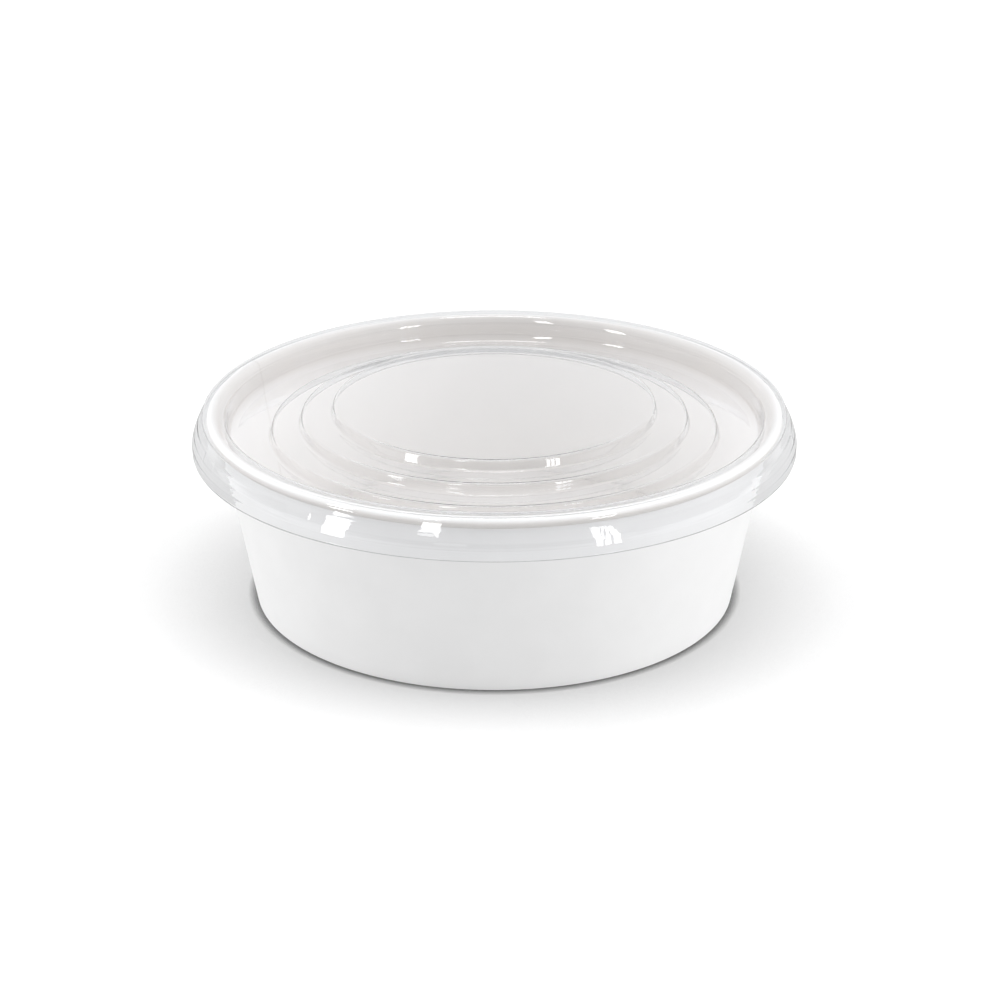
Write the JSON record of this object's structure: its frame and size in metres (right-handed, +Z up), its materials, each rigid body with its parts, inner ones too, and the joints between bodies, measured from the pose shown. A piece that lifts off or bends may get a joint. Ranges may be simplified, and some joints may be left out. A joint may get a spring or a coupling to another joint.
{
  "type": "takeaway salad bowl",
  "caption": "Round white paper bowl with sloping wall, recessed base and rolled rim, closed by a clear stepped lid with a flared skirt.",
  "frame": {"origin": "The middle of the foot ring, on the surface that the bowl stands on.", "axes": "+Z is up, along the axis that every piece is turned about; the picture was taken from the -Y side."},
  "size_m": [0.194, 0.194, 0.0646],
  "materials": {
    "paper_wall": "white coated board, soft satin",
    "paper_base": "white coated board, matte",
    "clear_lid": "clear formed sheet, glossy"
  },
  "bodies": {
    "root": {"bowl_wall": "paper_wall", "bowl_base": "paper_base", "lid": "clear_lid"}
  },
  "joints": []
}
